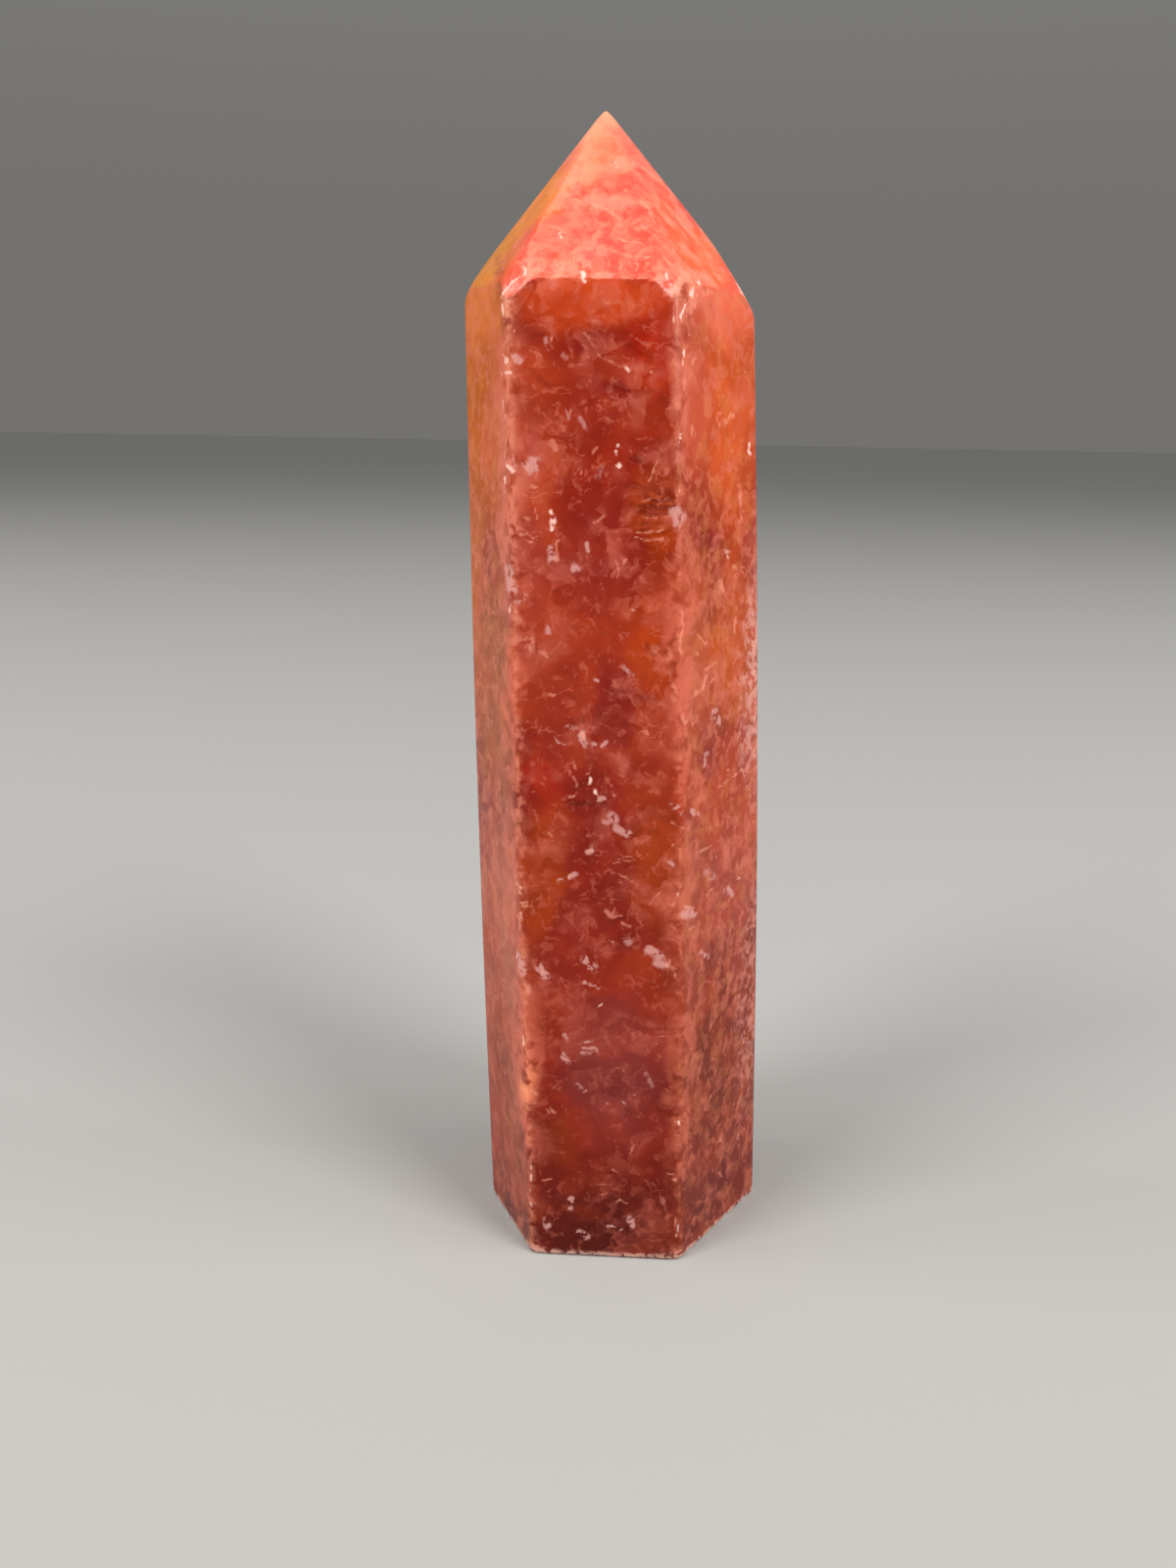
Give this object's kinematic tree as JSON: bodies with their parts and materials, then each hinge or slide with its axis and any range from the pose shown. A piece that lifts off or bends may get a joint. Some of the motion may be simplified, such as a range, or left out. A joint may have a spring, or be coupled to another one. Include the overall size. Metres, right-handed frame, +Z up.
{
  "type": "sunstone point",
  "caption": "Polished hexagonal tower of orange-red sunstone that stands on a sawn flat foot, leans slightly and ends in a pyramid point, with softened, lightly chipped edges.",
  "frame": {"origin": "bottom centre of the stone's bounding box, on the plane it stands on", "axes": "+Z up the stone towards its point, -Y out of the broad front face, +X to the right of someone who faces it"},
  "size_m": [0.0286, 0.0242, 0.1],
  "materials": {
    "sunstone": "polished"
  },
  "bodies": {
    "root": {"sunstone_point": "sunstone"}
  },
  "joints": []
}
